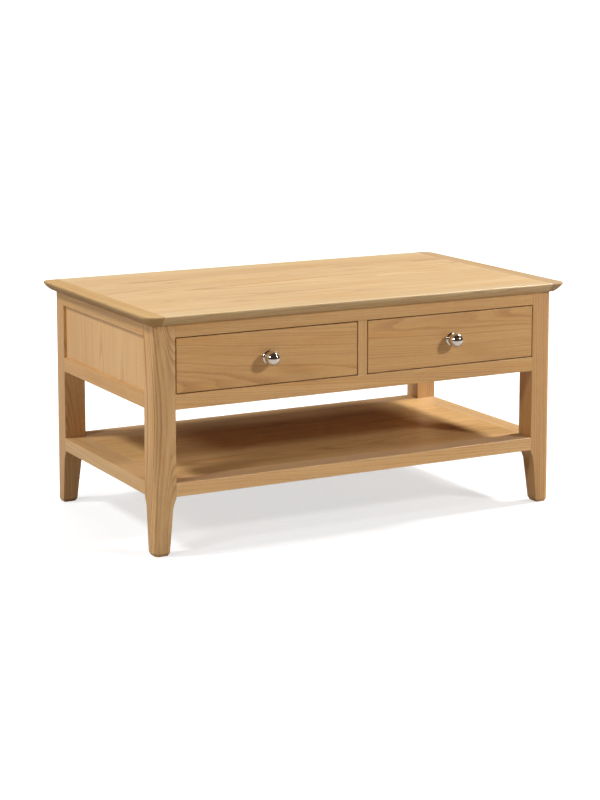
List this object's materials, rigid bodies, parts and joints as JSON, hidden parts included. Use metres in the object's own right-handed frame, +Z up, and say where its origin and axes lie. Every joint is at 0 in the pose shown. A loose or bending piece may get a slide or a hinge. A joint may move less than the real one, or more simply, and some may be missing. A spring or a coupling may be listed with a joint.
{
  "type": "coffee table with drawers",
  "caption": "Low oak coffee table: framed top with an undercut edge, tapered square legs, flush sliding drawers with ball knobs, and an open shelf below.",
  "frame": {"origin": "on the floor, under the middle of the table top", "axes": "+X along the table to the right seen from the front, -Y is the side that the drawers open to, +Z up"},
  "size_m": [0.936, 0.5437, 0.459],
  "materials": {
    "oak": "satin lacquer",
    "runner_wood": "planed and unfinished",
    "drawer_wood": "sanded and sealed",
    "drawer_plywood": "sanded and sealed",
    "knob_chrome": "polished",
    "screw_steel": "zinc plated"
  },
  "bodies": {
    "carcass": {"back_bottom_rail": "oak", "back_panel": "oak", "back_top_rail": "oak", "drawer_divider": "oak", "drawer_guide_centre": "runner_wood", "drawer_guide_left": "runner_wood", "drawer_guide_right": "runner_wood", "drawer_kicker_centre": "runner_wood", "drawer_kicker_left": "runner_wood", "drawer_kicker_right": "runner_wood", "drawer_runner_centre": "runner_wood", "drawer_runner_left": "runner_wood", "drawer_runner_right": "runner_wood", "drawer_stops": "runner_wood", "front_bottom_rail": "oak", "front_top_rail": "oak", "left_bottom_rail": "oak", "left_panel": "oak", "left_top_rail": "oak", "leg_back_left": "oak", "leg_back_right": "oak", "leg_front_left": "oak", "leg_front_right": "oak", "right_bottom_rail": "oak", "right_panel": "oak", "right_top_rail": "oak", "shelf_back_rail": "oak", "shelf_end_left": "oak", "shelf_end_right": "oak", "shelf_front_rail": "oak", "shelf_panel": "oak", "top_edge_back": "oak", "top_edge_front": "oak", "top_end_left": "oak", "top_end_right": "oak", "top_panel": "oak", "top_screws": "screw_steel"},
    "drawer_left": {"drawer_left_back": "drawer_wood", "drawer_left_bottom": "drawer_plywood", "drawer_left_front": "oak", "drawer_left_side_left": "drawer_wood", "drawer_left_side_right": "drawer_wood", "knob_left": "knob_chrome", "knob_screw_left": "screw_steel"},
    "drawer_right": {"drawer_right_back": "drawer_wood", "drawer_right_bottom": "drawer_plywood", "drawer_right_front": "oak", "drawer_right_side_left": "drawer_wood", "drawer_right_side_right": "drawer_wood", "knob_right": "knob_chrome", "knob_screw_right": "screw_steel"}
  },
  "joints": [
    {"name": "drawer_left_slide", "type": "slide", "parent": "carcass", "child": "drawer_left", "axis": [0, -1, 0], "range_m": [0, 0.3]},
    {"name": "drawer_right_slide", "type": "slide", "parent": "carcass", "child": "drawer_right", "axis": [0, -1, 0], "range_m": [0, 0.3]}
  ]
}
